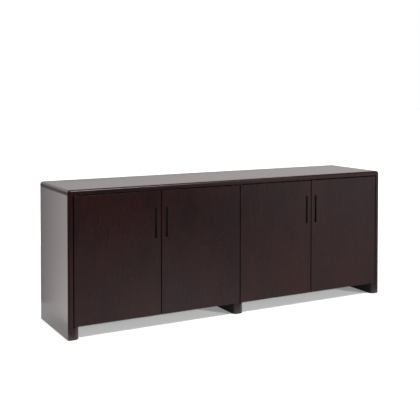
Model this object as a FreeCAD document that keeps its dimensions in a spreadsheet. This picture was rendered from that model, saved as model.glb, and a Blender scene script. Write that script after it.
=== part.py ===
"""Office credenza: a long low cabinet with four hinged doors, as a parametric assembly.

Frame: millimetres, +Z up, the front faces -Y, +X is to the right when facing the front.
The origin lies on the floor under the middle of the cabinet.
"""
import FreeCAD, Part
import os

import Sketcher
from FreeCAD import Placement, Rotation, Vector

document = FreeCAD.newDocument("OfficeCredenza")

# ---------------------------------------------------------------------------------------
# Driving dimensions
# ---------------------------------------------------------------------------------------
SIZES = [
    ("width", 1980, "overall width, across the end panels"),
    ("depth", 465, "overall depth"),
    ("height", 750, "floor to the top surface"),
    ("top_thickness", 26, "top slab"),
    ("side_thickness", 26, "end panels"),
    ("partition_thickness", 26, "upright in the middle"),
    ("board_thickness", 19, "bottom boards, rails and shelves"),
    ("back_thickness", 9, "back boards"),
    ("back_reveal", 3, "back boards stand in from the rear edge by this much"),
    ("outer_edge_radius", 12, "rounded front, rear and upright edges of the slab and end panels"),
    ("top_end_radius", 15, "rounded upper edge at each end of the top slab"),
    ("top_under_radius", 4, "rounded lower edge of the top slab, for the shadow line"),
    ("side_top_ease", 1, "eased upper edge of the end panels"),
    ("side_inner_ease", 1.5, "eased inner upright edges of the end panels"),
    ("door_thickness", 19, "doors"),
    ("door_gap", 5, "gap round every door"),
    ("door_setback", 4, "free space between a door's back and the case"),
    ("door_bottom", 66, "floor to a door's lower edge"),
    ("door_edge_radius", 1.5, "rounded front edges of a door"),
    ("end_foot_width", 33, "foot block inside an end panel"),
    ("centre_foot_width", 65, "foot block in the middle"),
    ("centre_foot_setback", 13, "middle foot stands back from the door fronts"),
    ("foot_radius", 27, "rounded upright edges of the feet"),
    ("foot_ease", 1.5, "eased edges of the feet where they meet a panel"),
    ("rail_width", 60, "rails under the top slab"),
    ("glide_height", 2.5, "glides lift the feet off the floor by this much"),
    ("glide_radius", 11, "glide disc"),
    ("glide_edge_radius", 0.8, "rounded lower edge of a glide"),
    ("glide_nail_radius", 1.5, "nail of a glide"),
    ("glide_nail_length", 18, "nail of a glide"),
    ("glide_inset", 60, "glide centre from the end of its foot"),
    ("shelf_height", 392, "floor to the underside of a shelf"),
    ("shelf_side_gap", 1, "gap beside a shelf"),
    ("shelf_front_gap", 18, "shelf front from the case front"),
    ("shelf_back_gap", 4, "shelf rear from the back board"),
    ("shelf_edge_radius", 2, "rounded front edge of a shelf"),
    ("pin_radius", 2.5, "shelf pin shank"),
    ("pin_depth", 9, "shelf pin shank length in its hole"),
    ("pin_reach", 8, "shelf pin length that carries the shelf"),
    ("pin_collar_radius", 4.5, "shelf pin collar"),
    ("pin_collar_length", 1, "shelf pin collar"),
    ("pin_hole_depth", 10, "shelf pin hole"),
    ("pin_hole_pitch", 32, "from one shelf pin hole to the next"),
    ("pin_hole_count", 7, "shelf pin holes in a row"),
    ("pin_row_inset", 45, "shelf pin row from the front or rear edge of the shelf"),
    ("pull_width", 15.5, "mouth of the recessed pull, outside"),
    ("pull_length", 160, "mouth of the recessed pull, outside"),
    ("pull_inset", 29, "pull centre line from the door's free edge"),
    ("pull_drop", 87, "door's upper edge to the mouth of the pull"),
    ("pull_mouth_wall", 1.1, "wall round the mouth of the pull"),
    ("pull_lip", 4, "depth of the mouth before the pull widens"),
    ("pull_box_margin", 6, "the pull's housing is larger than its mouth by this all round"),
    ("pull_box_wall", 1.8, "wall of the pull's housing"),
    ("pull_back_wall", 2, "rear wall of the pull"),
    ("pull_mouth_radius", 2, "rounded corners of the pull's mouth"),
    ("pivot_inset", 9, "hinge axis from the door's hinged edge"),
    ("pivot_setback", 5.5, "hinge axis behind the door's front face"),
    ("pivot_radius", 2.5, "hinge pin"),
    ("pivot_running_gap", 0.05, "free space round a hinge pin in the door's leaf"),
    ("pivot_pin_reach", 12, "hinge pin length inside the door"),
    ("pivot_pin_free_end", 1, "free space past the end and round the pin in the door"),
    ("leaf_thickness", 2.5, "hinge plates and leaves"),
    ("leaf_width", 8.5, "hinge plates and leaves"),
    ("leaf_length", 46, "hinge plates and leaves"),
    ("leaf_first_screw", 24, "hinge axis to the first screw of a leaf"),
    ("leaf_screw_pitch", 13, "between the two screws of a leaf"),
    ("washer_radius", 4, "washer on a hinge pin"),
    ("washer_play", 0.1, "free space above a washer"),
    ("leaf_screw_radius", 1.5, "shank of the small screws"),
    ("leaf_screw_head_radius", 2.9, "head of the small screws"),
    ("leaf_screw_head_height", 1.4, "head of the small screws"),
    ("leaf_screw_length", 14, "small screws"),
    ("catch_width", 72, "double magnetic catch"),
    ("catch_height", 14, "double magnetic catch"),
    ("catch_depth", 20, "double magnetic catch"),
    ("catch_gap", 0.3, "magnet face to the strike plate"),
    ("catch_edge_radius", 1.5, "rounded edges of a catch"),
    ("magnet_width", 20, "magnet in a catch"),
    ("magnet_height", 6, "magnet in a catch"),
    ("magnet_depth", 6, "magnet in a catch"),
    ("strike_offset", 20, "strike and magnet centre from the middle of the door pair's gap"),
    ("strike_width", 24, "strike plate"),
    ("strike_height", 12, "strike plate"),
    ("strike_thickness", 1.5, "strike plate"),
    ("dowel_radius", 4, "dowels"),
    ("dowel_length", 30, "dowels, half in each piece"),
    ("dowel_row_inset", 60, "dowels from the front and rear edges of the piece that they hold"),
    ("long_screw_radius", 2, "shank of the top and foot screws"),
    ("long_screw_head_radius", 4, "head of the top and foot screws"),
    ("long_screw_head_height", 2.4, "head of the top and foot screws"),
    ("top_screw_length", 34, "screws through the rails into the top slab"),
    ("foot_screw_length", 50, "screws through the foot blocks into the end panels"),
    ("rail_screw_inset", 90, "outer screw from the end of a rail"),
    ("front_rail_screw_setback", 40, "screws of a front rail from the case front"),
    ("back_screw_radius", 1.6, "shank of the back board screws"),
    ("back_screw_head_radius", 3.2, "head of the back board screws"),
    ("back_screw_head_height", 1.6, "head of the back board screws"),
    ("back_screw_length", 28, "back board screws"),
    ("back_screw_inset", 70, "outer screw from the side of a back board"),
]

sheet = document.addObject("Spreadsheet::Sheet", "Sizes")
for row, (alias, number, meaning) in enumerate(SIZES, 1):
    sheet.set(f"A{row}", meaning)
    sheet.set(f"B{row}", str(number))
    sheet.setAlias(f"B{row}", alias)
document.recompute()

# ---------------------------------------------------------------------------------------
# Planes and lengths that follow from the driving dimensions, as expressions
# ---------------------------------------------------------------------------------------
FRONT_Y = "(-Sizes.depth / 2)"
REAR_Y = "(Sizes.depth / 2)"
DOOR_BACK_Y = f"({FRONT_Y} + Sizes.door_thickness)"
CASE_FRONT_Y = f"({DOOR_BACK_Y} + Sizes.door_setback)"
BACK_BOARD_Y = f"({REAR_Y} - Sizes.back_reveal - Sizes.back_thickness)"
TOP_UNDERSIDE_Z = "(Sizes.height - Sizes.top_thickness)"
RAIL_UNDERSIDE_Z = f"({TOP_UNDERSIDE_Z} - Sizes.board_thickness)"
DOOR_TOP_Z = f"({TOP_UNDERSIDE_Z} - Sizes.door_gap)"
FOOT_TOP_Z = "(Sizes.door_bottom - Sizes.door_gap)"
CASE_FLOOR_Z = f"({FOOT_TOP_Z} + Sizes.board_thickness)"
SIDE_INNER_X = "(Sizes.width / 2 - Sizes.side_thickness)"
PARTITION_X = "(Sizes.partition_thickness / 2)"
DOOR_WIDTH = "((Sizes.width - 2 * Sizes.side_thickness - 5 * Sizes.door_gap) / 4)"
PAIR_CENTRE_X = f"({DOOR_WIDTH} + Sizes.door_gap)"
PIVOT_Y = f"({FRONT_Y} + Sizes.pivot_setback)"
SHELF_FRONT_Y = f"({CASE_FRONT_Y} + Sizes.shelf_front_gap)"
SHELF_REAR_Y = f"({BACK_BOARD_Y} - Sizes.shelf_back_gap)"
CATCH_FRONT_Y = f"({DOOR_BACK_Y} + Sizes.strike_thickness + Sizes.catch_gap)"
STRIKE_Z = f"({RAIL_UNDERSIDE_Z} - Sizes.catch_height / 2)"

SIDES = {"left": -1, "right": 1}
TURNS = {
    "+Z": Rotation(Vector(0, 0, 1), 0),
    "-Z": Rotation(Vector(1, 0, 0), 180),
    "+X": Rotation(Vector(0, 1, 0), 90),
    "-X": Rotation(Vector(0, 1, 0), -90),
    "+Y": Rotation(Vector(1, 0, 0), -90),
    "-Y": Rotation(Vector(1, 0, 0), 90),
}
TOLERANCE = 0.001


def value(expression):
    """The number that an expression stands for now."""
    return float(sheet.evalExpression(expression))


def bind(thing, **expressions):
    """Tie properties of an object to the sheet; a double underscore stands for a dot."""
    for name, expression in expressions.items():
        thing.setExpression(name.replace("__", "."), expression)


def place(thing, x, y, z, direction="+Z"):
    """Put an object's own +Z along a direction, at a point given by expressions."""
    thing.Placement = Placement(Vector(0, 0, 0), TURNS[direction])
    bind(thing, Placement__Base__x=x, Placement__Base__y=y, Placement__Base__z=z)


# ---------------------------------------------------------------------------------------
# Plain solids and booleans
# ---------------------------------------------------------------------------------------
def block(name, low, high):
    """A box between two corners."""
    box = document.addObject("Part::Box", name)
    bind(box, Length=f"{high[0]} - {low[0]}", Width=f"{high[1]} - {low[1]}")
    bind(box, Height=f"{high[2]} - {low[2]}")
    place(box, *low)
    return box


def rod(name, radius, length, at, direction="+Z"):
    """A cylinder that starts at a point and runs along a direction."""
    cylinder = document.addObject("Part::Cylinder", name)
    bind(cylinder, Radius=radius, Height=length)
    place(cylinder, *at, direction)
    return cylinder


def group(label, members):
    """Separate solids under one name."""
    compound = document.addObject("Part::Compound", label)
    compound.Label = label
    compound.Links = members
    return compound


def joined(name, members):
    """Solids made one."""
    fuse = document.addObject("Part::MultiFuse", name)
    fuse.Shapes = members
    return fuse


def cut(base, *tools):
    """The base less each tool in turn; every tool has to take something away."""
    for tool in tools:
        document.recompute()
        before = base.Shape.Volume
        result = document.addObject("Part::Cut", "Cut")
        result.Base = base
        result.Tool = tool
        document.recompute()
        if not result.Shape.Volume < before - TOLERANCE:
            raise RuntimeError(f"{tool.Name} takes nothing from {base.Name}")
        base = result
    return base


def screw(name, radius, head_radius, head_height, length, at, direction):
    """A countersunk screw: its head's flat face is at a point and it runs along a direction."""
    head = document.addObject("Part::Cone", f"{name}_head")
    bind(head, Radius1=head_radius, Radius2=radius, Height=head_height)
    shank = document.addObject("Part::Cylinder", f"{name}_shank")
    bind(shank, Radius=radius, Height=length)
    whole = joined(name, [head, shank])
    place(whole, *at, direction)
    return whole


def small_screw(name, at, direction):
    """A screw of the hinge plates, leaves, catches and strikes."""
    return screw(
        name, "Sizes.leaf_screw_radius", "Sizes.leaf_screw_head_radius",
        "Sizes.leaf_screw_head_height", "Sizes.leaf_screw_length", at, direction)


def long_screw(name, length, at, direction):
    """A screw of the top slab or the feet."""
    return screw(
        name, "Sizes.long_screw_radius", "Sizes.long_screw_head_radius",
        "Sizes.long_screw_head_height", length, at, direction)


# ---------------------------------------------------------------------------------------
# Bodies made from sketches
# ---------------------------------------------------------------------------------------
def plane_sketch(body, role, level):
    """A sketch on one of the body's own origin planes, moved along its axis to a level."""
    plane = next(item for item in body.Origin.OriginFeatures if item.Role == role)
    sketch = body.newObject("Sketcher::SketchObject", f"{body.Name}_sketch")
    sketch.AttachmentSupport = [(plane, "")]
    sketch.MapMode = "FlatFace"
    sign = "-" if role == "XZ_Plane" else ""
    bind(sketch, AttachmentOffset__Base__z=f"{sign}({level})")
    return sketch


def hold_point(sketch, geometry, point, across, up):
    """Fix a point of the sketch at two expressions."""
    for kind, expression in (("DistanceX", across), ("DistanceY", up)):
        constraint = Sketcher.Constraint(kind, -1, 1, geometry, point, value(expression))
        index = sketch.addConstraint(constraint)
        sketch.setExpression(f"Constraints[{index}]", expression)


def rectangle(sketch, left, bottom, right, top):
    """A closed rectangle whose sides lie at four expressions."""
    corners = [(left, bottom), (right, bottom), (right, top), (left, top)]
    points = [Vector(value(across), value(up), 0) for across, up in corners]
    first = sketch.GeometryCount
    for step in range(4):
        sketch.addGeometry(Part.LineSegment(points[step], points[(step + 1) % 4]), False)
    for step in range(4):
        following = first + (step + 1) % 4
        sketch.addConstraint(Sketcher.Constraint("Coincident", first + step, 2, following, 1))
    for step, kind in enumerate(("Horizontal", "Vertical", "Horizontal", "Vertical")):
        sketch.addConstraint(Sketcher.Constraint(kind, first + step))
    hold_point(sketch, first, 1, left, bottom)
    hold_point(sketch, first + 2, 1, right, top)


def circle(sketch, across, up, radius):
    """A circle whose centre and radius are expressions."""
    centre = Vector(value(across), value(up), 0)
    index = sketch.addGeometry(Part.Circle(centre, Vector(0, 0, 1), value(radius)), False)
    hold_point(sketch, index, 3, across, up)
    radial = sketch.addConstraint(Sketcher.Constraint("Radius", index, value(radius)))
    sketch.setExpression(f"Constraints[{radial}]", radius)


def pad(body, sketch, length, forward=True):
    """Raise a sketch towards the plus end of its plane's axis, or the minus end."""
    feature = body.newObject("PartDesign::Pad", f"{body.Name}_pad")
    feature.Profile = sketch
    feature.Reversed = forward == sketch_faces_back(sketch)
    bind(feature, Length=length)
    document.recompute()
    return feature


def pocket(body, sketch, length, forward=True):
    """Sink a sketch towards the plus end of its plane's axis, or the minus end."""
    before = body.Shape.Volume
    feature = body.newObject("PartDesign::Pocket", f"{body.Name}_pocket")
    feature.Profile = sketch
    feature.Reversed = forward != sketch_faces_back(sketch)
    bind(feature, Length=length)
    document.recompute()
    if not body.Shape.Volume < before - TOLERANCE:
        raise RuntimeError(f"{feature.Name} cuts nothing")
    return feature


def sketch_faces_back(sketch):
    """True where the sketch's normal points to the minus end of its plane's axis."""
    return sketch.AttachmentSupport[0][0].Role == "XZ_Plane"


def fillet(body, feature, radius, test):
    """Round the edges of a feature that pass a test."""
    names = []
    for number, edge in enumerate(feature.Shape.Edges, 1):
        if test(edge):
            names.append(f"Edge{number}")
    if not names:
        raise RuntimeError(f"{body.Name} has no edge to round")
    result = body.newObject("PartDesign::Fillet", f"{body.Name}_fillet")
    result.Base = (feature, names)
    bind(result, Radius=radius)
    document.recompute()
    return result


def lies_at(edge, **levels):
    """True where the whole edge lies at each level, given as x=, y= or z= expressions."""
    box = edge.BoundBox
    for axis, expression in levels.items():
        level = value(expression)
        low = getattr(box, f"{axis.upper()}Min")
        high = getattr(box, f"{axis.upper()}Max")
        if abs(low - level) > TOLERANCE or abs(high - level) > TOLERANCE:
            return False
    return True


def runs_along(edge, axis):
    """True for a straight edge along x, y or z."""
    direction = Vector(*(float(axis == name) for name in "xyz"))
    span = edge.valueAt(edge.LastParameter) - edge.valueAt(edge.FirstParameter)
    straight = edge.Curve.TypeId == "Part::GeomLine"
    return straight and abs(abs(span.dot(direction)) - span.Length) < TOLERANCE


def slab_body(name, low, high):
    """A body that is one box between two corners, raised from its plan."""
    body = document.addObject("PartDesign::Body", name)
    sketch = plane_sketch(body, "XY_Plane", low[2])
    rectangle(sketch, low[0], low[1], high[0], high[1])
    feature = pad(body, sketch, f"{high[2]} - {low[2]}")
    return body, feature


# ---------------------------------------------------------------------------------------
# Places that repeat
# ---------------------------------------------------------------------------------------
def evenly(start, end, count):
    """Expressions for places spread evenly from start to end."""
    return [f"({start} + ({end} - {start}) * {step} / {count - 1})" for step in range(count)]


def bay(side):
    """The low and high X of the space between an end panel and the partition."""
    if side == "left":
        return f"(-{SIDE_INNER_X})", f"(-{PARTITION_X})"
    return PARTITION_X, SIDE_INNER_X


def mirrored(side, x):
    """An X on the chosen side of the middle."""
    return f"({SIDES[side]} * {x})"


DOORS = {
    "door_1": {"low": f"(-{SIDE_INNER_X} + Sizes.door_gap)", "hinged": "left"},
    "door_2": {"low": f"(-{DOOR_WIDTH} - Sizes.door_gap / 2)", "hinged": "right"},
    "door_3": {"low": "(Sizes.door_gap / 2)", "hinged": "left"},
    "door_4": {"low": f"({DOOR_WIDTH} + Sizes.door_gap * 3 / 2)", "hinged": "right"},
}
for door in DOORS.values():
    door["high"] = f"({door['low']} + {DOOR_WIDTH})"
    door["inward"] = 1 if door["hinged"] == "left" else -1
    hinged_edge = door["low"] if door["hinged"] == "left" else door["high"]
    free_edge = door["high"] if door["hinged"] == "left" else door["low"]
    door["pivot_x"] = f"({hinged_edge} + {door['inward']} * Sizes.pivot_inset)"
    door["pull_x"] = f"({free_edge} - {door['inward']} * Sizes.pull_inset)"
    door["strike_x"] = (
        f"({free_edge} - {door['inward']} * (Sizes.strike_offset - Sizes.door_gap / 2))")

# A hinge plate carries one pin at each end of the cabinet and two in the middle.
PLATES = {"left": ["door_1"], "centre": ["door_2", "door_3"], "right": ["door_4"]}
PLATE_REAR_Y = f"({PIVOT_Y} - Sizes.leaf_width / 2 + Sizes.leaf_length)"
LEAF_END_FLAT = "(Sizes.leaf_width / 25)"
LEAF_END_RADIUS = f"((Sizes.leaf_width - {LEAF_END_FLAT}) / 2)"


# ---------------------------------------------------------------------------------------
# Hinges
# ---------------------------------------------------------------------------------------
def screw_places(start, sign=1):
    """The two screw places of a plate or leaf, counted from its hinge axis."""
    first = f"({start} + {sign} * Sizes.leaf_first_screw)"
    return first, f"({first} + {sign} * Sizes.leaf_screw_pitch)"


def pivot_plate(name, doors, low_z):
    """The case's hinge plate: a flat bar let into the wood, with a hole for each pin."""
    first = DOORS[doors[0]]["pivot_x"]
    last = DOORS[doors[-1]]["pivot_x"]
    half = "Sizes.leaf_width / 2"
    low = (f"({first} - {half})", f"({PIVOT_Y} - {half})", low_z)
    high = (f"({last} + {half})", PLATE_REAR_Y, f"({low_z} + Sizes.leaf_thickness)")
    body, bar = slab_body(f"{name}_bar", low, high)
    fillet(body, bar, LEAF_END_RADIUS, lambda edge: (
        runs_along(edge, "z") and lies_at(edge, y=low[1])))
    holes = plane_sketch(body, "XY_Plane", high[2])
    for door in doors:
        circle(holes, DOORS[door]["pivot_x"], PIVOT_Y, "Sizes.pivot_radius")
    pocket(body, holes, "Sizes.leaf_thickness", forward=False)
    return body


def plate_screws(name, doors, head_z, direction):
    """The screws of one hinge plate, on the middle line of the plate."""
    first = DOORS[doors[0]]["pivot_x"]
    last = DOORS[doors[-1]]["pivot_x"]
    middle = f"(({first} + {last}) / 2)"
    return [small_screw(f"{name}_screw", (middle, y, head_z), direction)
            for y in screw_places(PIVOT_Y)]


def make_fittings():
    """Top and bottom hinge plates with their screws, pins and washers, by plate."""
    fittings = {}
    pin_length = "(Sizes.leaf_thickness + Sizes.door_gap + Sizes.pivot_pin_reach)"
    washer_height = "(Sizes.door_gap - Sizes.washer_play)"
    top_face = TOP_UNDERSIDE_Z
    ends = {
        "top": (top_face, top_face, f"({top_face} + Sizes.leaf_thickness)", "+Z", "-Z"),
        "bottom": (
            f"({FOOT_TOP_Z} - Sizes.leaf_thickness)", FOOT_TOP_Z,
            f"({FOOT_TOP_Z} - Sizes.leaf_thickness)", "-Z", "+Z"),
    }
    for end, (low_z, face_z, pin_start, into_wood, into_door) in ends.items():
        for place_name, doors in PLATES.items():
            name = f"pivot_plate_{end}_{place_name}"
            body = pivot_plate(name, doors, low_z)
            screws = plate_screws(name, doors, face_z, into_wood)
            pins = []
            washers = []
            for door in doors:
                x = DOORS[door]["pivot_x"]
                pins.append(rod(
                    f"{door}_{end}_pin", "Sizes.pivot_radius", pin_length,
                    (x, PIVOT_Y, pin_start), into_door))
                washers.append(make_washer(
                    f"{door}_{end}_washer", x, face_z, washer_height, into_door))
            plate = cut(body, group(f"{name}_holes", screws))
            fittings[name] = {
                "plates": [plate], "screws": screws, "pins": pins, "washers": washers}
    return fittings


def of_kind(fittings, kind, part_of_name=""):
    """Every fitting of one kind on the plates whose name holds some words."""
    chosen = [pieces[kind] for name, pieces in fittings.items() if part_of_name in name]
    return [piece for pieces in chosen for piece in pieces]


def let_in(board, fittings, part_of_name, kinds):
    """Cut a board for the hinge fittings that sit in it."""
    tools = [group(f"{part_of_name}_{kind}_holes", of_kind(fittings, kind, part_of_name))
             for kind in kinds]
    return cut(board, *tools)


def make_washer(name, x, face_z, height, direction):
    """A plain washer round a hinge pin, lying on the hinge plate."""
    disc = rod(f"{name}_disc", "Sizes.washer_radius", height, (x, PIVOT_Y, face_z), direction)
    bore = rod(f"{name}_bore", "Sizes.pivot_radius", height, (x, PIVOT_Y, face_z), direction)
    return cut(disc, bore)


def door_leaf(name, door, low_z):
    """A door's hinge leaf: a flat bar let into the door's edge, with a hole that turns."""
    inward = DOORS[door]["inward"]
    x = DOORS[door]["pivot_x"]
    half = "Sizes.leaf_width / 2"
    near = f"({x} - {inward} * {half})"
    far = f"({x} + {inward} * (Sizes.leaf_length - {half}))"
    left, right = (near, far) if inward > 0 else (far, near)
    low = (left, f"({PIVOT_Y} - {half})", low_z)
    high = (right, f"({PIVOT_Y} + {half})", f"({low_z} + Sizes.leaf_thickness)")
    body, bar = slab_body(f"{name}_bar", low, high)
    fillet(body, bar, LEAF_END_RADIUS, lambda edge: (
        runs_along(edge, "z") and lies_at(edge, x=near)))
    bore = plane_sketch(body, "XY_Plane", high[2])
    circle(bore, x, PIVOT_Y, "Sizes.pivot_radius + Sizes.pivot_running_gap")
    pocket(body, bore, "Sizes.leaf_thickness", forward=False)
    return body


# ---------------------------------------------------------------------------------------
# Doors
# ---------------------------------------------------------------------------------------
def pull_boxes(door):
    """The plan and height of a pull's mouth and of its wider housing."""
    centre = DOORS[door]["pull_x"]
    top = f"({DOOR_TOP_Z} - Sizes.pull_drop)"
    mouth = (
        f"({centre} - Sizes.pull_width / 2)", f"({top} - Sizes.pull_length)",
        f"({centre} + Sizes.pull_width / 2)", top)
    margin = "Sizes.pull_box_margin"
    housing = (
        f"({mouth[0]} - {margin})", f"({mouth[1]} - {margin})",
        f"({mouth[2]} + {margin})", f"({mouth[3]} + {margin})")
    return mouth, housing


def shrunk(box, wall):
    """A rectangle less a wall all round."""
    return (f"({box[0]} + {wall})", f"({box[1]} + {wall})",
            f"({box[2]} - {wall})", f"({box[3]} - {wall})")


def make_pull(door):
    """Recessed pull: a narrow mouth in front of a wider closed housing, set in from behind."""
    mouth, housing = pull_boxes(door)
    body = document.addObject("PartDesign::Body", f"{door}_pull")
    mouth_sketch = plane_sketch(body, "XZ_Plane", FRONT_Y)
    rectangle(mouth_sketch, *mouth)
    neck = pad(body, mouth_sketch, "Sizes.pull_lip")
    fillet(body, neck, "Sizes.pull_mouth_radius", lambda edge: runs_along(edge, "y"))
    lip_y = f"({FRONT_Y} + Sizes.pull_lip)"
    box_sketch = plane_sketch(body, "XZ_Plane", lip_y)
    rectangle(box_sketch, *housing)
    pad(body, box_sketch, "Sizes.door_thickness - Sizes.pull_lip")
    cavity_sketch = plane_sketch(body, "XZ_Plane", f"({lip_y} + Sizes.pull_box_wall)")
    rectangle(cavity_sketch, *shrunk(housing, "Sizes.pull_box_wall"))
    cavity_depth = (
        "Sizes.door_thickness - Sizes.pull_lip - Sizes.pull_box_wall - Sizes.pull_back_wall")
    pocket(body, cavity_sketch, cavity_depth)
    opening_sketch = plane_sketch(body, "XZ_Plane", FRONT_Y)
    rectangle(opening_sketch, *shrunk(mouth, "Sizes.pull_mouth_wall"))
    pocket(body, opening_sketch, "Sizes.pull_lip + Sizes.pull_box_wall")
    body.Label = f"{door}_pull"
    return body


def make_door_panel(door):
    """The door board with rounded front edges and the stepped hole for its pull."""
    span = DOORS[door]
    low = (span["low"], FRONT_Y, "Sizes.door_bottom")
    high = (span["high"], DOOR_BACK_Y, DOOR_TOP_Z)
    body, board = slab_body(f"{door}_board", low, high)
    fillet(body, board, "Sizes.door_edge_radius", lambda edge: lies_at(edge, y=FRONT_Y))
    mouth, housing = pull_boxes(door)
    rear = plane_sketch(body, "XZ_Plane", DOOR_BACK_Y)
    rectangle(rear, *housing)
    pocket(body, rear, "Sizes.door_thickness - Sizes.pull_lip", forward=False)
    front = plane_sketch(body, "XZ_Plane", FRONT_Y)
    rectangle(front, *mouth)
    neck = pocket(body, front, "Sizes.pull_lip")
    fillet(body, neck, "Sizes.pull_mouth_radius", lambda edge: (
        runs_along(edge, "y") and abs(edge.Length - value("Sizes.pull_lip")) < TOLERANCE))
    return body


def make_strike(door):
    """The thin steel plate on a door's back that the magnet holds."""
    x = DOORS[door]["strike_x"]
    low = (f"({x} - Sizes.strike_width / 2)", DOOR_BACK_Y, f"({STRIKE_Z} - Sizes.strike_height / 2)")
    high = (
        f"({x} + Sizes.strike_width / 2)", f"({DOOR_BACK_Y} + Sizes.strike_thickness)",
        f"({STRIKE_Z} + Sizes.strike_height / 2)")
    body, plate = slab_body(f"{door}_strike_plate", low, high)
    fillet(body, plate, "Sizes.strike_thickness", lambda edge: runs_along(edge, "y"))
    return body


def make_door(door):
    """One door with its leaves, pull, strike and screws."""
    inward = DOORS[door]["inward"]
    x = DOORS[door]["pivot_x"]
    ends = {
        "top": (f"({DOOR_TOP_Z} - Sizes.leaf_thickness)", DOOR_TOP_Z, "-Z"),
        "bottom": ("Sizes.door_bottom", "Sizes.door_bottom", "+Z"),
    }
    panel = make_door_panel(door)
    pieces = {}
    screws = []
    for end, (low_z, face_z, into_door) in ends.items():
        name = f"{door}_leaf_{end}"
        leaf = door_leaf(name, door, low_z)
        leaf_screws = [small_screw(f"{name}_screw", (at, PIVOT_Y, face_z), into_door)
                       for at in screw_places(x, inward)]
        pin_room = rod(
            f"{name}_pin_room", "Sizes.pivot_radius + Sizes.pivot_pin_free_end",
            "Sizes.pivot_pin_reach + Sizes.pivot_pin_free_end", (x, PIVOT_Y, face_z), into_door)
        panel = cut(panel, leaf, pin_room)
        drilled = cut(leaf, group(f"{name}_holes", leaf_screws))
        drilled.Label = name
        pieces[name] = drilled
        screws += leaf_screws
    strike = make_strike(door)
    strike_face = f"({DOOR_BACK_Y} + Sizes.strike_thickness)"
    strike_screw = small_screw(
        f"{door}_strike_screw", (DOORS[door]["strike_x"], strike_face, STRIKE_Z), "-Y")
    screws.append(strike_screw)
    drilled_strike = cut(strike, strike_screw)
    drilled_strike.Label = f"{door}_strike"
    pieces[f"{door}_strike"] = drilled_strike
    pieces[f"{door}_pull"] = make_pull(door)
    all_screws = group(f"{door}_screws", screws)
    pieces[f"{door}_screws"] = all_screws
    panel = cut(panel, all_screws)
    panel.Label = door
    pieces[door] = panel
    return pieces


# ---------------------------------------------------------------------------------------
# Catches
# ---------------------------------------------------------------------------------------
def make_catch(side):
    """A double magnetic catch under the front rail, behind the meeting edges of two doors."""
    centre = mirrored(side, PAIR_CENTRE_X)
    half = "Sizes.catch_width / 2"
    low = (f"({centre} - {half})", CATCH_FRONT_Y, f"({RAIL_UNDERSIDE_Z} - Sizes.catch_height)")
    high = (f"({centre} + {half})", f"({CATCH_FRONT_Y} + Sizes.catch_depth)", RAIL_UNDERSIDE_Z)
    body, housing = slab_body(f"catch_{side}_housing", low, high)
    fillet(body, housing, "Sizes.catch_edge_radius", lambda edge: (
        not lies_at(edge, z=RAIL_UNDERSIDE_Z) and not lies_at(edge, y=CATCH_FRONT_Y)))
    magnets = []
    for sign in SIDES.values():
        x = f"({centre} + {sign} * Sizes.strike_offset)"
        magnets.append(block(
            f"catch_{side}_magnet",
            (f"({x} - Sizes.magnet_width / 2)", CATCH_FRONT_Y,
             f"({STRIKE_Z} - Sizes.magnet_height / 2)"),
            (f"({x} + Sizes.magnet_width / 2)", f"({CATCH_FRONT_Y} + Sizes.magnet_depth)",
             f"({STRIKE_Z} + Sizes.magnet_height / 2)")))
    screw_y = f"({CASE_FRONT_Y} + Sizes.catch_depth / 2)"
    fixing = small_screw(
        f"catch_{side}_screw", (centre, screw_y, f"({RAIL_UNDERSIDE_Z} - Sizes.catch_height)"), "+Z")
    bind(fixing.Shapes[1], Height="Sizes.catch_height + Sizes.leaf_screw_length")
    catch = cut(body, group(f"catch_{side}_magnets", magnets), fixing)
    catch.Label = f"catch_{side}"
    return catch, magnets, fixing


# ---------------------------------------------------------------------------------------
# Case
# ---------------------------------------------------------------------------------------
def make_top():
    """The top slab, with all its outer edges rounded."""
    low = ("(-Sizes.width / 2)", FRONT_Y, TOP_UNDERSIDE_Z)
    high = ("(Sizes.width / 2)", REAR_Y, "Sizes.height")
    body, board = slab_body("top_panel_board", low, high)
    ends = fillet(body, board, "Sizes.top_end_radius", lambda edge: (
        lies_at(edge, z=high[2]) and runs_along(edge, "y")))
    outline = fillet(body, ends, "Sizes.outer_edge_radius", lambda edge: (
        (lies_at(edge, y=FRONT_Y) or lies_at(edge, y=REAR_Y))
        and not lies_at(edge, z=TOP_UNDERSIDE_Z)))
    fillet(body, outline, "Sizes.top_under_radius", lambda edge: lies_at(edge, z=TOP_UNDERSIDE_Z))
    return body


def make_side(side):
    """An end panel that reaches from its glides to the top slab."""
    outer = mirrored(side, "(Sizes.width / 2)")
    inner = mirrored(side, SIDE_INNER_X)
    left, right = (outer, inner) if side == "left" else (inner, outer)
    low = (left, FRONT_Y, "Sizes.glide_height")
    high = (right, REAR_Y, TOP_UNDERSIDE_Z)
    body, board = slab_body(f"end_panel_{side}_board", low, high)
    corners = fillet(body, board, "Sizes.outer_edge_radius", lambda edge: (
        runs_along(edge, "z") and lies_at(edge, x=outer)))
    inside = fillet(body, corners, "Sizes.side_inner_ease", lambda edge: (
        runs_along(edge, "z") and lies_at(edge, x=inner)))
    fillet(body, inside, "Sizes.side_top_ease", lambda edge: (
        lies_at(edge, z=TOP_UNDERSIDE_Z) and lies_at(edge, x=outer)))
    return body


def make_end_foot(side):
    """A foot block glued inside an end panel, with its free upright edges well rounded."""
    near = SIDE_INNER_X
    far = f"({SIDE_INNER_X} - Sizes.end_foot_width)"
    left, right = (near, far) if side == "left" else (far, near)
    low = (mirrored(side, left), FRONT_Y, "Sizes.glide_height")
    high = (mirrored(side, right), REAR_Y, FOOT_TOP_Z)
    body, board = slab_body(f"end_foot_{side}_block", low, high)
    rounded = fillet(body, board, "Sizes.foot_radius", lambda edge: (
        runs_along(edge, "z") and lies_at(edge, x=mirrored(side, far))))
    fillet(body, rounded, "Sizes.foot_ease", lambda edge: (
        runs_along(edge, "z") and lies_at(edge, x=mirrored(side, near))))
    return body


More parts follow.
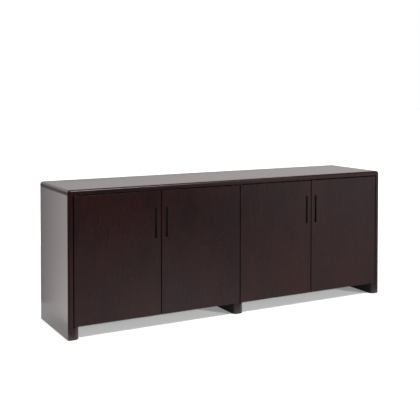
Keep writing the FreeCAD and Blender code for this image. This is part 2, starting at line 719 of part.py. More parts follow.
def make_centre_foot():
    """The middle foot block, set back and rounded at all four upright edges."""
    half = "(Sizes.centre_foot_width / 2)"
    low = (f"(-{half})", f"({FRONT_Y} + Sizes.centre_foot_setback)", "Sizes.glide_height")
    high = (half, f"({REAR_Y} - Sizes.centre_foot_setback)", FOOT_TOP_Z)
    body, board = slab_body("centre_foot_block", low, high)
    fillet(body, board, "Sizes.foot_radius", lambda edge: runs_along(edge, "z"))
    return body


def make_board(name, low, high):
    """A plain rectangular board."""
    return block(f"{name}_board", low, high)


def make_shelf(side):
    """An adjustable shelf with a rounded front edge."""
    low_x, high_x = bay(side)
    low = (f"({low_x} + Sizes.shelf_side_gap)", SHELF_FRONT_Y, "Sizes.shelf_height")
    high = (
        f"({high_x} - Sizes.shelf_side_gap)", SHELF_REAR_Y,
        "(Sizes.shelf_height + Sizes.board_thickness)")
    body, board = slab_body(f"shelf_{side}", low, high)
    fillet(body, board, "Sizes.shelf_edge_radius", lambda edge: (
        lies_at(edge, y=SHELF_FRONT_Y) and runs_along(edge, "x")))
    body.Label = f"shelf_{side}"
    return body


# ---------------------------------------------------------------------------------------
# Shelf pins and their holes
# ---------------------------------------------------------------------------------------
PIN_Z = "(Sizes.shelf_height - Sizes.pin_radius)"
PIN_ROWS_Y = (f"({SHELF_FRONT_Y} + Sizes.pin_row_inset)", f"({SHELF_REAR_Y} - Sizes.pin_row_inset)")


def pin_faces():
    """Each face that holds shelf pins: its name, its X and the way into the wood."""
    faces = []
    for side in SIDES:
        low_x, high_x = bay(side)
        faces.append((f"{side}_bay_low", low_x, "-X"))
        faces.append((f"{side}_bay_high", high_x, "+X"))
    return faces


def make_shelf_pin(name, x, y, into_wood):
    """A peg with a collar: its shank sits in the hole and its stub carries the shelf."""
    out = "+X" if into_wood == "-X" else "-X"
    shank = rod(f"{name}_shank", "Sizes.pin_radius", "Sizes.pin_depth", (x, y, PIN_Z), into_wood)
    collar_length = "Sizes.pin_collar_length"
    stub = rod(f"{name}_stub", "Sizes.pin_radius", "Sizes.pin_reach", (x, y, PIN_Z), out)
    collar = rod(f"{name}_collar", "Sizes.pin_collar_radius", collar_length, (x, y, PIN_Z), out)
    return joined(name, [shank, collar, stub])


def make_pin_holes(name, x, into_wood):
    """Two upright rows of holes, with the shelf's hole in the middle of each."""
    count = int(value("Sizes.pin_hole_count"))
    holes = []
    for y in PIN_ROWS_Y:
        for step in range(count):
            z = f"({PIN_Z} + {step - count // 2} * Sizes.pin_hole_pitch)"
            holes.append(rod(
                f"{name}_hole", "Sizes.pin_radius", "Sizes.pin_hole_depth", (x, y, z), into_wood))
    return group(f"{name}_holes", holes)


# ---------------------------------------------------------------------------------------
# Dowels, screws and glides
# ---------------------------------------------------------------------------------------
SCREWS_PER_RAIL = 3
SCREWS_PER_FOOT = 3
SCREWS_PER_BACK_ROW = 4


def dowel(name, x, y, z, direction):
    """A dowel whose middle is at a point."""
    half = "Sizes.dowel_length / 2"
    shift = {"+X": (f"({x} - {half})", y, z), "+Z": (x, y, f"({z} - {half})")}
    return rod(name, "Sizes.dowel_radius", "Sizes.dowel_length", shift[direction], direction)


def make_dowels():
    """Dowels by the joint that they hold, so that each board is drilled for its own."""
    inset = "Sizes.dowel_row_inset"
    deep = (f"({CASE_FRONT_Y} + {inset})", f"({BACK_BOARD_Y} - {inset})")
    board_middle = "Sizes.board_thickness / 2"
    floor_z = f"({FOOT_TOP_Z} + {board_middle})"
    rail_z = f"({TOP_UNDERSIDE_Z} - {board_middle})"
    rails_y = (f"({CASE_FRONT_Y} + Sizes.rail_width / 2)", f"({BACK_BOARD_Y} - Sizes.rail_width / 2)")
    joints = {}
    for side in SIDES:
        side_x = mirrored(side, SIDE_INNER_X)
        half = mirrored(side, "Sizes.side_thickness / 2")
        joints[f"floor_{side}"] = [
            dowel(f"floor_{side}_dowel", side_x, y, floor_z, "+X") for y in deep]
        joints[f"rails_{side}"] = [
            dowel(f"rails_{side}_dowel", side_x, y, rail_z, "+X") for y in rails_y]
        joints[f"top_{side}"] = [
            dowel(f"top_{side}_dowel", f"({side_x} + {half})", y, TOP_UNDERSIDE_Z, "+Z") for y in deep]
    joints["top_centre"] = [dowel("top_centre_dowel", "0", y, TOP_UNDERSIDE_Z, "+Z") for y in deep]
    joints["foot_centre"] = [dowel("foot_centre_dowel", "0", y, FOOT_TOP_Z, "+Z") for y in deep]
    return joints


def make_top_screws(side):
    """Screws up through the two rails of one bay into the top slab."""
    low_x, high_x = bay(side)
    inset = "Sizes.rail_screw_inset"
    places_x = evenly(f"({low_x} + {inset})", f"({high_x} - {inset})", SCREWS_PER_RAIL)
    rails = {
        "front": f"({CASE_FRONT_Y} + Sizes.front_rail_screw_setback)",
        "rear": f"({BACK_BOARD_Y} - Sizes.rail_width / 2)",
    }
    return {
        rail: [long_screw(f"{rail}_rail_{side}_screw", "Sizes.top_screw_length",
                          (x, y, RAIL_UNDERSIDE_Z), "+Z") for x in places_x]
        for rail, y in rails.items()}


def make_foot_screws(side):
    """Screws through a foot block into its end panel, from the inner face of the block."""
    face = mirrored(side, f"({SIDE_INNER_X} - Sizes.end_foot_width)")
    direction = "-X" if side == "left" else "+X"
    start = f"({FRONT_Y} + Sizes.foot_radius + Sizes.dowel_row_inset)"
    end = f"({REAR_Y} - Sizes.foot_radius - Sizes.dowel_row_inset)"
    z = f"(({FOOT_TOP_Z} + Sizes.glide_height) / 2)"
    return [long_screw(f"end_foot_{side}_screw", "Sizes.foot_screw_length", (face, y, z), direction)
            for y in evenly(start, end, SCREWS_PER_FOOT)]


def make_back_screws(side):
    """Screws from behind through a back board into the floor board and the rear rail."""
    low_x, high_x = bay(side)
    inset = "Sizes.back_screw_inset"
    places_x = evenly(f"({low_x} + {inset})", f"({high_x} - {inset})", SCREWS_PER_BACK_ROW)
    face = f"({BACK_BOARD_Y} + Sizes.back_thickness)"
    levels = {
        "floor": f"({FOOT_TOP_Z} + Sizes.board_thickness / 2)",
        "rail": f"({TOP_UNDERSIDE_Z} - Sizes.board_thickness / 2)",
    }
    return {
        level: [screw(f"back_{side}_{level}_screw", "Sizes.back_screw_radius",
                      "Sizes.back_screw_head_radius", "Sizes.back_screw_head_height",
                      "Sizes.back_screw_length", (x, face, z), "-Y") for x in places_x]
        for level, z in levels.items()}


def make_glide(name, x, y):
    """A round glide on a nail, under a foot."""
    body = document.addObject("PartDesign::Body", name)
    sketch = plane_sketch(body, "XY_Plane", "0")
    circle(sketch, x, y, "Sizes.glide_radius")
    disc = pad(body, sketch, "Sizes.glide_height")
    fillet(body, disc, "Sizes.glide_edge_radius", lambda edge: lies_at(edge, z="0"))
    nail = plane_sketch(body, "XY_Plane", "Sizes.glide_height")
    circle(nail, x, y, "Sizes.glide_nail_radius")
    pad(body, nail, "Sizes.glide_nail_length")
    return body


def make_glides():
    """Two glides under each foot."""
    block_middle = f"({SIDE_INNER_X} - Sizes.end_foot_width / 2)"
    centres = {"left": f"(-{block_middle})", "centre": "0", "right": block_middle}
    glides = {}
    for foot, x in centres.items():
        setback = "Sizes.centre_foot_setback" if foot == "centre" else "0"
        ends = (f"({FRONT_Y} + {setback} + Sizes.glide_inset)",
                f"({REAR_Y} - {setback} - Sizes.glide_inset)")
        glides[foot] = [make_glide(f"glide_{foot}", x, y) for y in ends]
    return glides


# ---------------------------------------------------------------------------------------
# Assembly
# ---------------------------------------------------------------------------------------
nodes = {}


def keep(label, thing):
    """File an object under its own label."""
    thing.Label = label
    nodes[label] = thing


def build_case():
    """Everything that stands still."""
    fittings = make_fittings()
    dowels = make_dowels()
    dowel_holes = {name: group(f"{name}_dowel_holes", items) for name, items in dowels.items()}
    pin_holes = {}
    shelf_pins = []
    for name, x, into_wood in pin_faces():
        pin_holes[name] = make_pin_holes(name, x, into_wood)
        shelf_pins += [make_shelf_pin(f"{name}_pin", x, y, into_wood) for y in PIN_ROWS_Y]
    glides = make_glides()
    glide_holes = {foot: group(f"glide_{foot}_holes", items) for foot, items in glides.items()}
    top_fixings = {side: make_top_screws(side) for side in SIDES}
    foot_fixings = {side: make_foot_screws(side) for side in SIDES}
    back_fixings = {side: make_back_screws(side) for side in SIDES}
    catches = {side: make_catch(side) for side in SIDES}

    for name, pieces in fittings.items():
        keep(name, pieces["plates"][0])
    every_top_screw = [
        item for rails in top_fixings.values() for items in rails.values() for item in items]
    top_board = let_in(make_top(), fittings, "pivot_plate_top", ("plates", "screws", "pins"))
    keep("top_panel", cut(
        top_board, dowel_holes["top_left"], dowel_holes["top_centre"], dowel_holes["top_right"],
        group("top_screw_holes", every_top_screw)))

    for side in SIDES:
        inner_face = "left_bay_low" if side == "left" else "right_bay_high"
        foot_holes = group(f"foot_{side}_screw_holes", foot_fixings[side])
        keep(f"end_panel_{side}", cut(
            make_side(side), dowel_holes[f"floor_{side}"], dowel_holes[f"rails_{side}"],
            dowel_holes[f"top_{side}"], pin_holes[inner_face], foot_holes))
        foot_block = let_in(
            make_end_foot(side), fittings, f"pivot_plate_bottom_{side}",
            ("plates", "screws", "pins"))
        keep(f"end_foot_{side}", cut(foot_block, foot_holes, glide_holes[side]))
    centre_block = let_in(
        make_centre_foot(), fittings, "pivot_plate_bottom_centre", ("plates", "screws"))
    keep("centre_foot", cut(centre_block, dowel_holes["foot_centre"], glide_holes["centre"]))
    keep("partition", cut(
        make_board(
            "partition", (f"(-{PARTITION_X})", CASE_FRONT_Y, FOOT_TOP_Z),
            (PARTITION_X, BACK_BOARD_Y, TOP_UNDERSIDE_Z)),
        dowel_holes["foot_centre"], dowel_holes["top_centre"],
        pin_holes["left_bay_high"], pin_holes["right_bay_low"]))

    for side in SIDES:
        low_x, high_x = bay(side)
        back_floor = group(f"back_{side}_floor_holes", back_fixings[side]["floor"])
        back_rail = group(f"back_{side}_rail_holes", back_fixings[side]["rail"])
        keep(f"bottom_panel_{side}", cut(
            make_board(
                f"bottom_panel_{side}", (low_x, CASE_FRONT_Y, FOOT_TOP_Z),
                (high_x, BACK_BOARD_Y, CASE_FLOOR_Z)),
            dowel_holes[f"floor_{side}"], back_floor))
        front_screws = group(f"front_rail_{side}_holes", top_fixings[side]["front"])
        keep(f"front_rail_{side}", cut(
            make_board(
                f"front_rail_{side}", (low_x, CASE_FRONT_Y, RAIL_UNDERSIDE_Z),
                (high_x, f"({CASE_FRONT_Y} + Sizes.rail_width)", TOP_UNDERSIDE_Z)),
            dowel_holes[f"rails_{side}"], front_screws, catches[side][2]))
        rear_screws = group(f"rear_rail_{side}_holes", top_fixings[side]["rear"])
        keep(f"rear_rail_{side}", cut(
            make_board(
                f"rear_rail_{side}", (low_x, f"({BACK_BOARD_Y} - Sizes.rail_width)", RAIL_UNDERSIDE_Z),
                (high_x, BACK_BOARD_Y, TOP_UNDERSIDE_Z)),
            dowel_holes[f"rails_{side}"], rear_screws, back_rail))
        middle = "0"
        outer = mirrored(side, SIDE_INNER_X)
        back_low, back_high = (outer, middle) if side == "left" else (middle, outer)
        keep(f"back_panel_{side}", cut(
            make_board(
                f"back_panel_{side}", (back_low, BACK_BOARD_Y, FOOT_TOP_Z),
                (back_high, f"({BACK_BOARD_Y} + Sizes.back_thickness)", TOP_UNDERSIDE_Z)),
            back_floor, back_rail))
        keep(f"shelf_{side}", make_shelf(side))
        keep(f"catch_{side}", catches[side][0])

    keep("shelf_pins", group("shelf_pins", shelf_pins))
    keep("glides", group("glides", [item for items in glides.values() for item in items]))
    keep("dowels", group("dowels", [item for items in dowels.values() for item in items]))
    keep("top_screws", group("top_screws", every_top_screw))
    keep("foot_screws", group(
        "foot_screws", [item for items in foot_fixings.values() for item in items]))
    keep("back_screws", group("back_screws", [
        item for levels in back_fixings.values() for items in levels.values() for item in items]))
    keep("catch_magnets", group(
        "catch_magnets", [magnet for catch in catches.values() for magnet in catch[1]]))
    keep("hardware_screws", group(
        "hardware_screws",
        of_kind(fittings, "screws") + [catch[2] for catch in catches.values()]))
    keep("pivot_pins", group("pivot_pins", of_kind(fittings, "pins")))
    keep("pivot_washers", group("pivot_washers", of_kind(fittings, "washers")))


def build_doors():
    """The four doors and everything that turns with them."""
    for door in DOORS:
        for name, thing in make_door(door).items():
            keep(name, thing)


def check_model():
    """Stop if any object failed, or if a piece is empty or not valid."""
    for thing in document.Objects:
        if "Invalid" in thing.State or "Error" in thing.State:
            raise RuntimeError(f"{thing.Name} ({thing.Label}) failed: {thing.State}")
    for label, thing in nodes.items():
        if thing.Shape.isNull() or not thing.Shape.isValid() or not thing.Shape.Solids:
            raise RuntimeError(f"{label} has no valid solid")


def write_parts():
    """One STEP file for each piece."""
    os.makedirs("parts", exist_ok=True)
    for label, thing in nodes.items():
        thing.Shape.exportStep(f"parts/{label}.step")
        box = thing.Shape.BoundBox
        print(f"{label}: {len(thing.Shape.Solids)} solid(s), volume {thing.Shape.Volume:.0f},"
              f" X {box.XMin:.1f}..{box.XMax:.1f}, Y {box.YMin:.1f}..{box.YMax:.1f},"
              f" Z {box.ZMin:.1f}..{box.ZMax:.1f}")


build_case()
build_doors()
document.recompute()
check_model()
write_parts()
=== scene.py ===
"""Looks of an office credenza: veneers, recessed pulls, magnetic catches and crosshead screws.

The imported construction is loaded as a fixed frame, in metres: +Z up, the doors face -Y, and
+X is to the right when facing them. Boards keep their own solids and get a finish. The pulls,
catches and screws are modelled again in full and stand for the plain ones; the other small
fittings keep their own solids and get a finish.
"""

import logging
import math
from collections.abc import Callable, Iterator, Sequence
from contextlib import contextmanager
from dataclasses import dataclass
from enum import Enum

import bmesh
import bpy
from mathutils import Matrix, Vector


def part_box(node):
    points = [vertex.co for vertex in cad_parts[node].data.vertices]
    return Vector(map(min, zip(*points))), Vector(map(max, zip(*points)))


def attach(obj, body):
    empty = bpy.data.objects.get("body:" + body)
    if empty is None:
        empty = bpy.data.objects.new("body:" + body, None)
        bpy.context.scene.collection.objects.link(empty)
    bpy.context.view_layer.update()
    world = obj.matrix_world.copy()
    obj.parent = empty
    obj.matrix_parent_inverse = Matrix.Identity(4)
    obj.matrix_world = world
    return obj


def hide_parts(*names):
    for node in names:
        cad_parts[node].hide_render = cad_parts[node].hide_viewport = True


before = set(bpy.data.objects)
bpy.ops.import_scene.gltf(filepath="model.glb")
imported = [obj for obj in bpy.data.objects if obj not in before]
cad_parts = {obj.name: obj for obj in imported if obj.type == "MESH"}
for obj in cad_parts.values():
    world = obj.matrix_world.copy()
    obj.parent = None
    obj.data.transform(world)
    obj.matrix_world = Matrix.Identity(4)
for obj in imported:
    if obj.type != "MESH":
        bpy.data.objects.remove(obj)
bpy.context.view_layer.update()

LOG = logging.getLogger("credenza")
MM = 0.001
Colour = tuple[float, float, float]
SIDES = ("left", "right")
DOORS = ("door_1", "door_2", "door_3", "door_4")


# ---------------------------------------------------------------------------------------
# Wiring of materials
# ---------------------------------------------------------------------------------------
class Wiring:
    """A node tree that is wired one node at a time."""

    def __init__(self, tree: bpy.types.NodeTree) -> None:
        """Empty the tree.

        Args:
            tree: The node tree of a material or of the world.
        """
        tree.nodes.clear()
        self.tree = tree

    def add(self, kind: str, inputs: dict | None = None, **settings: object) -> bpy.types.Node:
        """Add one node.

        Args:
            kind: The node's type without its leading "ShaderNode".
            inputs: A number, a colour or an output socket for each input, by name or index.
            settings: The node's own properties.

        Returns:
            The new node.
        """
        node = self.tree.nodes.new(f"ShaderNode{kind}")
        for name, setting in settings.items():
            setattr(node, name, setting)
        for name, given in (inputs or {}).items():
            if isinstance(given, bpy.types.NodeSocket):
                self.tree.links.new(given, node.inputs[name])
            else:
                node.inputs[name].default_value = given
        return node

    def math(self, operation: str, first: object, second: object = 0.0) -> bpy.types.NodeSocket:
        """Return one sum, product or other operation on two numbers or sockets."""
        return self.add("Math", {0: first, 1: second}, operation=operation).outputs[0]

    def spread(
        self, given: object, low: float, high: float, to_low: float = 0.0, to_high: float = 1.0
    ) -> bpy.types.NodeSocket:
        """Map a range of numbers smoothly onto another.

        Args:
            given: The number or socket.
            low: Where the range starts.
            high: Where the range ends.
            to_low: What the start becomes.
            to_high: What the end becomes.

        Returns:
            The mapped number's socket.
        """
        ends = {"Value": given, "From Min": low, "From Max": high, "To Min": to_low}
        node = self.add("MapRange", {**ends, "To Max": to_high}, interpolation_type="SMOOTHSTEP")
        return node.outputs["Result"]

    def mix(self, share: object, first: object, second: object) -> bpy.types.NodeSocket:
        """Return a mix of two colours, given as RGBA or sockets."""
        node = self.add("Mix", {0: share, 6: first, 7: second}, data_type="RGBA")
        return node.outputs[2]

    def noise(
        self, place: bpy.types.NodeSocket, per_metre: Sequence[float], detail: float = 2.0,
        drift: float = 0.0,
    ) -> bpy.types.NodeSocket:
        """Noise with its own spacing along each axis.

        Args:
            place: The coordinates, in metres.
            per_metre: Features per metre along each axis.
            detail: How many finer layers are added.
            drift: How much the pattern wanders.

        Returns:
            The noise's value, about 0.5 on average.
        """
        spaced = self.add("Mapping", {"Vector": place, "Scale": per_metre}).outputs[0]
        settings = {"Vector": spaced, "Scale": 1.0, "Detail": detail, "Distortion": drift}
        return self.add("TexNoise", settings).outputs[0]

    def profile(self, given: object, stops: Sequence[tuple[float, float]]) -> bpy.types.NodeSocket:
        """Map a number through a line of straight pieces.

        Args:
            given: The number or socket.
            stops: Each place along the line, in order, and the value there.

        Returns:
            The value's socket.
        """
        start, end = stops[0][0], stops[-1][0]
        share = self.add("MapRange", {"Value": given, "From Min": start, "From Max": end})
        ramp = self.add("ValToRGB", {"Fac": share.outputs["Result"]})
        points = ramp.color_ramp.elements
        for number, (place, value) in enumerate(stops):
            at = (place - start) / (end - start)
            point = points[number] if number < 2 else points.new(1.0)
            point.position = at
            point.color = rgba((value,) * 3)
        return ramp.outputs["Color"]

    def bump(self, height: bpy.types.NodeSocket, depth: float) -> bpy.types.NodeSocket:
        """Return a normal for a height of 0 to 1 that stands for a depth in metres."""
        return self.add("Bump", {"Height": height, "Distance": depth, "Strength": 1.0}).outputs[0]


def rgba(colour: Colour) -> tuple[float, float, float, float]:
    """Return a colour with full opacity."""
    return (*colour, 1.0)


@dataclass(frozen=True)
class Finish:
    """What every finish has: a name, and a surface shader with its fixed numbers."""

    name: str
    gloss: float = 0.4
    metallic: float = 0.0
    refraction: float = 1.45

    def wire(self, wiring: Wiring, surface: bpy.types.Node) -> None:
        """Wire what varies over the surface; each kind of finish does it its own way."""
        raise NotImplementedError

    def material(self) -> bpy.types.Material:
        """Make the finish's material, or return it if it is made already."""
        made = bpy.data.materials.get(self.name)
        if made is not None:
            return made
        made = bpy.data.materials.new(self.name)
        made.use_nodes = True
        wiring = Wiring(made.node_tree)
        fixed = {"Metallic": self.metallic, "IOR": self.refraction, "Roughness": self.gloss}
        surface = wiring.add("BsdfPrincipled", fixed)
        wiring.add("OutputMaterial", {"Surface": surface.outputs[0]})
        self.wire(wiring, surface)
        return made

    def dress(self, *pieces: bpy.types.Object) -> None:
        """Give pieces this finish and no other."""
        for piece in pieces:
            piece.data.materials.clear()
            piece.data.materials.append(self.material())


# ---------------------------------------------------------------------------------------
# Finishes
# ---------------------------------------------------------------------------------------
class Grain(Enum):
    """The axis that the fibres of a board run along."""

    LENGTHWISE = "x"
    DEEPWISE = "y"
    UPRIGHT = "z"


@dataclass(frozen=True)
class Veneer(Finish):
    """Stained veneer under satin lacquer.

    The figure has broad clouds, soft patches, narrow stripes, fibres and open pores. Edges
    that face along band_axis wear an edge band, whose fibres run along band_grain. Faces that
    look along one of the listed shade axes get painted shade: a near-black colour and a matte
    sheen, which darken the door gaps, the top's ends and the feet's inner sides.
    """

    grain: Grain = Grain.UPRIGHT
    band_axis: str = "z"
    band_grain: Grain = Grain.LENGTHWISE
    dark: Colour = (0.0150, 0.0050, 0.0062)
    middle: Colour = (0.0235, 0.0064, 0.0072)
    warm: Colour = (0.0320, 0.0074, 0.0074)
    pore: Colour = (0.0060, 0.0030, 0.0034)
    # Painted shade: faces that look along these axes are darkened towards near-black and made matte,
    # between the two facing limits below.
    painted_shade_axes: str = ""
    painted_shade_from: float = 0.62
    painted_shade_to: float = 0.80
    refraction: float = 1.5
    gloss: float = 0.30
    gloss_play: float = 0.03
    pore_depth: float = 0.02 * MM

    def along(self, wiring: Wiring, place: bpy.types.NodeSocket, grain: Grain) -> bpy.types.NodeSocket:
        """Turn coordinates so that the fibres run along the third axis.

        Args:
            wiring: The material's wiring.
            place: The coordinates on the piece.
            grain: The axis that the fibres run along.

        Returns:
            The turned coordinates.
        """
        apart = wiring.add("SeparateXYZ", {0: place}).outputs
        order = {Grain.LENGTHWISE: (1, 2, 0), Grain.DEEPWISE: (2, 0, 1), Grain.UPRIGHT: (0, 1, 2)}
        turned = {slot: apart[axis] for slot, axis in enumerate(order[grain])}
        return wiring.add("CombineXYZ", turned).outputs[0]

    def wire(self, wiring: Wiring, surface: bpy.types.Node) -> None:
        """Wire the figure's colour, the painted shade on faces along the listed axes, the lacquer's
        sheen and the pores' relief.
        """
        about = wiring.add("TexCoord").outputs
        facing = wiring.add("SeparateXYZ", {0: about["Normal"]}).outputs
        steep = wiring.math("ABSOLUTE", facing["xyz".index(self.band_axis)])
        banded = wiring.math("GREATER_THAN", steep, 0.72)
        on_face = self.along(wiring, about["Object"], self.grain)
        on_band = self.along(wiring, about["Object"], self.band_grain)
        place = wiring.mix(banded, on_face, on_band)

        clouds = wiring.noise(place, (3.6, 3.6, 2.2), detail=1.0)
        patches = wiring.noise(place, (24.0, 24.0, 7.0), detail=1.0, drift=0.25)
        stripes = wiring.noise(place, (140.0, 140.0, 9.0), detail=3.0, drift=0.15)
        fibres = wiring.noise(place, (800.0, 800.0, 28.0), detail=2.0)
        dashes = wiring.noise(place, (1500.0, 1500.0, 75.0), detail=1.0)
        pores = wiring.spread(dashes, 0.62, 0.70)

        tone = wiring.math("MULTIPLY", clouds, 0.60)
        for layer, share in ((patches, 0.22), (stripes, 0.06), (fibres, 0.12)):
            tone = wiring.math("ADD", tone, wiring.math("MULTIPLY", layer, share))
        body = wiring.mix(wiring.spread(tone, 0.34, 0.52), rgba(self.dark), rgba(self.middle))
        body = wiring.mix(wiring.spread(tone, 0.49, 0.66), body, rgba(self.warm))
        colour = wiring.mix(wiring.math("MULTIPLY", pores, 0.25), body, rgba(self.pore))

        play = wiring.math("MULTIPLY", wiring.math("SUBTRACT", stripes, 0.5), self.gloss_play * 2)
        sheen = wiring.math("ADD", wiring.math("ADD", play, self.gloss), wiring.math(
            "MULTIPLY", pores, self.gloss_play))
        # Painted shade: mix the colour towards near-black and raise the roughness on faces along each
        # listed axis.
        for axis in self.painted_shade_axes:
            turned = wiring.math("ABSOLUTE", facing["xyz".index(axis)])
            painted_shade_share = wiring.spread(turned, self.painted_shade_from, self.painted_shade_to)
            colour = wiring.mix(painted_shade_share, colour, rgba(PAINTED_SHADE_BLACK))
            sheen = wiring.math("MAXIMUM", sheen, wiring.math("MULTIPLY", painted_shade_share, 0.95))
        wiring.tree.links.new(colour, surface.inputs["Base Color"])
        wiring.tree.links.new(sheen, surface.inputs["Roughness"])
        relief = wiring.math("SUBTRACT", wiring.math("MULTIPLY", fibres, 0.35), pores)
        wiring.tree.links.new(wiring.bump(relief, self.pore_depth), surface.inputs["Normal"])


@dataclass(frozen=True)
class BareWood(Finish):
    """Turned beech: pale wood with short dark flecks along its length."""

    tone: Colour = (0.52, 0.36, 0.21)
    fleck: Colour = (0.30, 0.17, 0.09)
    gloss: float = 0.6

    def wire(self, wiring: Wiring, surface: bpy.types.Node) -> None:
        """Wire the flecks' colour and relief."""
        place = wiring.add("TexCoord").outputs["Object"]
        flecks = wiring.spread(wiring.noise(place, (700.0, 700.0, 120.0)), 0.52, 0.66)
        colour = wiring.mix(flecks, rgba(self.tone), rgba(self.fleck))
        wiring.tree.links.new(colour, surface.inputs["Base Color"])
        wiring.tree.links.new(wiring.bump(flecks, 0.03 * MM), surface.inputs["Normal"])


@dataclass(frozen=True)
class Moulded(Finish):
    """Moulded plastic with a fine eroded texture and a slight play of gloss."""

    tone: Colour = (0.012, 0.012, 0.012)
    scuff: Colour = (0.022, 0.021, 0.021)
    texture_depth: float = 0.02 * MM

    def wire(self, wiring: Wiring, surface: bpy.types.Node) -> None:
        """Wire the texture's colour, gloss and relief."""
        place = wiring.add("TexCoord").outputs["Object"]
        eroded = wiring.noise(place, (2400.0, 2400.0, 2400.0), detail=3.0)
        handled = wiring.spread(wiring.noise(place, (55.0, 55.0, 55.0), detail=3.0), 0.48, 0.72)
        colour = wiring.mix(handled, rgba(self.tone), rgba(self.scuff))
        wiring.tree.links.new(colour, surface.inputs["Base Color"])
        sheen = wiring.math("ADD", wiring.math("MULTIPLY", eroded, 0.12), self.gloss - 0.06)
        wiring.tree.links.new(sheen, surface.inputs["Roughness"])
        wiring.tree.links.new(wiring.bump(eroded, self.texture_depth), surface.inputs["Normal"])


@dataclass(frozen=True)
class Metal(Finish):
    """Plated or lacquered metal with fine scratches along one axis."""

    tone: Colour = (0.62, 0.62, 0.63)
    shade: Colour = (0.40, 0.39, 0.38)
    scratches: tuple[float, float, float] = (60.0, 1800.0, 1800.0)
    metallic: float = 1.0
    gloss: float = 0.32

    def wire(self, wiring: Wiring, surface: bpy.types.Node) -> None:
        """Wire the scratches and the cloudy dulling of the plating."""
        place = wiring.add("TexCoord").outputs["Object"]
        scratches = wiring.noise(place, self.scratches, detail=2.0)
        dulling = wiring.spread(wiring.noise(place, (90.0, 90.0, 90.0), detail=3.0), 0.45, 0.70)
        colour = wiring.mix(wiring.math("MULTIPLY", dulling, 0.6), rgba(self.tone), rgba(self.shade))
        wiring.tree.links.new(colour, surface.inputs["Base Color"])
        sheen = wiring.math("ADD", wiring.math("MULTIPLY", scratches, 0.2), self.gloss - 0.1)
        sheen = wiring.math("ADD", sheen, wiring.math("MULTIPLY", dulling, 0.12))
        wiring.tree.links.new(sheen, surface.inputs["Roughness"])
        wiring.tree.links.new(wiring.bump(scratches, 0.008 * MM), surface.inputs["Normal"])


# Near-black colour used as painted shade on faces along a veneer's listed axes.
PAINTED_SHADE_BLACK: Colour = (0.0025, 0.0022, 0.0022)

# The doors' edges and roundings carry painted shade, so that the gaps between the doors read dark.
DOOR_VENEER = Veneer(
    "door_veneer_upright", painted_shade_axes="xz", painted_shade_from=0.40, painted_shade_to=0.65, gloss=0.28)
PANEL_VENEER = Veneer("panel_veneer_upright", gloss=0.24)
# The top's ends carry painted shade: darker and more matte than its face.
TOP_VENEER = Veneer(
    "top_veneer_lengthwise", grain=Grain.LENGTHWISE, band_axis="x", band_grain=Grain.DEEPWISE,
    painted_shade_axes="x", painted_shade_from=0.80, painted_shade_to=1.08, gloss=0.25)
BOARD_VENEER = Veneer(
    "board_veneer_lengthwise", grain=Grain.LENGTHWISE, band_axis="x", band_grain=Grain.DEEPWISE,
    gloss=0.44)
BACK_VENEER = Veneer("back_veneer_upright", gloss=0.5)
# The feet's sides carry painted shade, as dark as the shade under the case.
FOOT_WOOD = Veneer("foot_wood_upright", painted_shade_axes="x")
BEECH = BareWood("turned_beech")
# Partly real black moulding, partly painted shade: far darker than black plastic, so that the pull's
# hollow reads as dark as its shade.
PULL_BLACK_AND_SHADE = Moulded(
    "pull_black", tone=(0.002, 0.002, 0.002), scuff=(0.004, 0.0037, 0.0037), gloss=0.7,
    refraction=1.2)
CATCH_BROWN = Moulded("catch_brown", tone=(0.020, 0.012, 0.010), scuff=(0.030, 0.020, 0.017))
NYLON = Moulded("nylon_dark", tone=(0.030, 0.028, 0.026), scuff=(0.045, 0.042, 0.040), gloss=0.5)
ZINC = Metal("zinc_plate")
BLACK_OXIDE = Metal(
    "black_oxide", tone=(0.020, 0.019, 0.019), shade=(0.010, 0.010, 0.010), gloss=0.55)
NICKEL = Metal("magnet_nickel", tone=(0.50, 0.49, 0.47), gloss=0.25)
BRONZE = Metal(
    "hinge_bronze", tone=(0.085, 0.070, 0.060), shade=(0.050, 0.042, 0.038), gloss=0.42)


# ---------------------------------------------------------------------------------------
# The workbench
# ---------------------------------------------------------------------------------------
Test = Callable[[Vector, Vector], bool]


